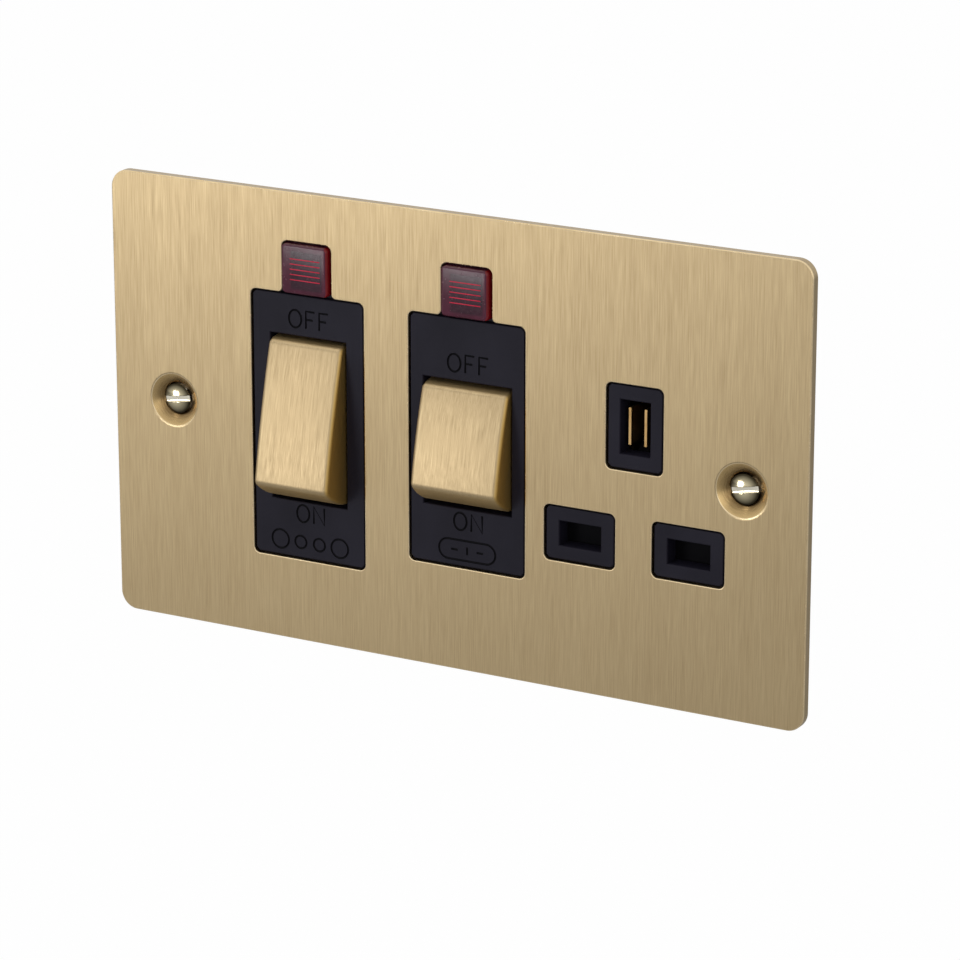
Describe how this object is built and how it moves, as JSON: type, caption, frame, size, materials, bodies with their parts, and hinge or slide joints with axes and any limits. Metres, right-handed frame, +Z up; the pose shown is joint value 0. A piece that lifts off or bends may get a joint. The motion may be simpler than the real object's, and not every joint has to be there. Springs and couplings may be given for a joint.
{
  "type": "cooker control unit",
  "caption": "Flush wall plate with a tall cooker rocker switch, a switched three-pin socket outlet, two neon indicators and a screwed rear housing.",
  "frame": {"origin": "midway between the two fixing screws, in the plane where the backs of the dished screw seats bear on the lugs of the wall box", "axes": "+X to the right seen from the front, +Z up, the front faces -Y"},
  "size_m": [0.147, 0.0346, 0.088],
  "materials": {
    "satin_brass": "satin, brushed upright",
    "polished_brass": "polished",
    "contact_brass": "plain rolled strip",
    "steel": "bright zinc plated",
    "black_moulding": "fine matt",
    "red_lens": "clear dark red, ribbed inside",
    "lamp_glass": "clear",
    "ceramic": "matt"
  },
  "bodies": {
    "unit": {"front_plate": "satin_brass", "front_moulding": "black_moulding", "back_housing": "black_moulding", "fixing_screws": "polished_brass", "housing_screws": "steel", "clamp_screws": "steel", "line_link": "contact_brass", "neutral_link": "contact_brass", "outlet_line_bar": "contact_brass", "outlet_neutral_bar": "contact_brass", "line_contact": "contact_brass", "neutral_contact": "contact_brass", "earth_contact": "contact_brass", "earth_strap": "contact_brass", "shutter_spring": "steel", "earth_terminal": "contact_brass", "supply_line_terminal": "contact_brass", "supply_neutral_terminal": "contact_brass", "load_line_terminal": "contact_brass", "load_neutral_terminal": "contact_brass", "cooker_load_line_contact": "contact_brass", "cooker_load_neutral_contact": "contact_brass", "cooker_neon_lens": "red_lens", "cooker_neon_lamp": "lamp_glass", "cooker_neon_resistor": "ceramic", "cooker_line_bar": "contact_brass", "cooker_neutral_bar": "contact_brass", "socket_neon_lens": "red_lens", "socket_neon_lamp": "lamp_glass", "socket_neon_resistor": "ceramic", "socket_line_bar": "contact_brass", "socket_neutral_bar": "contact_brass"},
    "shutter": {"shutter": "black_moulding"},
    "cooker_rocker": {"cooker_rocker_cap": "satin_brass", "cooker_rocker_carrier": "black_moulding", "cooker_line_plunger": "contact_brass", "cooker_line_spring": "steel", "cooker_neutral_plunger": "contact_brass", "cooker_neutral_spring": "steel"},
    "cooker_line_arm": {"cooker_line_arm": "contact_brass"},
    "cooker_neutral_arm": {"cooker_neutral_arm": "contact_brass"},
    "socket_rocker": {"socket_rocker_cap": "satin_brass", "socket_rocker_carrier": "black_moulding", "socket_line_plunger": "contact_brass", "socket_line_spring": "steel", "socket_neutral_plunger": "contact_brass", "socket_neutral_spring": "steel"},
    "socket_line_arm": {"socket_line_arm": "contact_brass"},
    "socket_neutral_arm": {"socket_neutral_arm": "contact_brass"}
  },
  "joints": [
    {"name": "cooker_rocker_tilt", "type": "hinge", "parent": "unit", "child": "cooker_rocker", "pos_m": [-0.0304, 0.00115, 0], "axis": [1, 0, 0], "range_deg": [0, 26]},
    {"name": "cooker_line_arm_rock", "type": "hinge", "parent": "unit", "child": "cooker_line_arm", "pos_m": [-0.0346, 0.01405, 0], "axis": [1, 0, 0], "range_deg": [-16.2, 0]},
    {"name": "cooker_neutral_arm_rock", "type": "hinge", "parent": "unit", "child": "cooker_neutral_arm", "pos_m": [-0.0262, 0.01405, 0], "axis": [1, 0, 0], "range_deg": [-16.2, 0]},
    {"name": "socket_rocker_tilt", "type": "hinge", "parent": "unit", "child": "socket_rocker", "pos_m": [0.0038, 0.00115, 0], "axis": [1, 0, 0], "range_deg": [0, 28]},
    {"name": "socket_line_arm_rock", "type": "hinge", "parent": "unit", "child": "socket_line_arm", "pos_m": [-0.0004, 0.01405, 0], "axis": [1, 0, 0], "range_deg": [-16.2, 0]},
    {"name": "socket_neutral_arm_rock", "type": "hinge", "parent": "unit", "child": "socket_neutral_arm", "pos_m": [0.008, 0.01405, 0], "axis": [1, 0, 0], "range_deg": [-16.2, 0]},
    {"name": "shutter_drop", "type": "slide", "parent": "unit", "child": "shutter", "axis": [0, 0, -1], "range_m": [0, 0.0056], "stiffness_N_per_m": 150, "springref_m": -0.004, "deforming": ["shutter_spring"]}
  ],
  "couplings": [
    {"joint": "cooker_line_arm_rock", "follows": "cooker_rocker_tilt", "ratio": -0.6154},
    {"joint": "cooker_neutral_arm_rock", "follows": "cooker_rocker_tilt", "ratio": -0.6154},
    {"joint": "socket_line_arm_rock", "follows": "socket_rocker_tilt", "ratio": -0.5714},
    {"joint": "socket_neutral_arm_rock", "follows": "socket_rocker_tilt", "ratio": -0.5714}
  ]
}
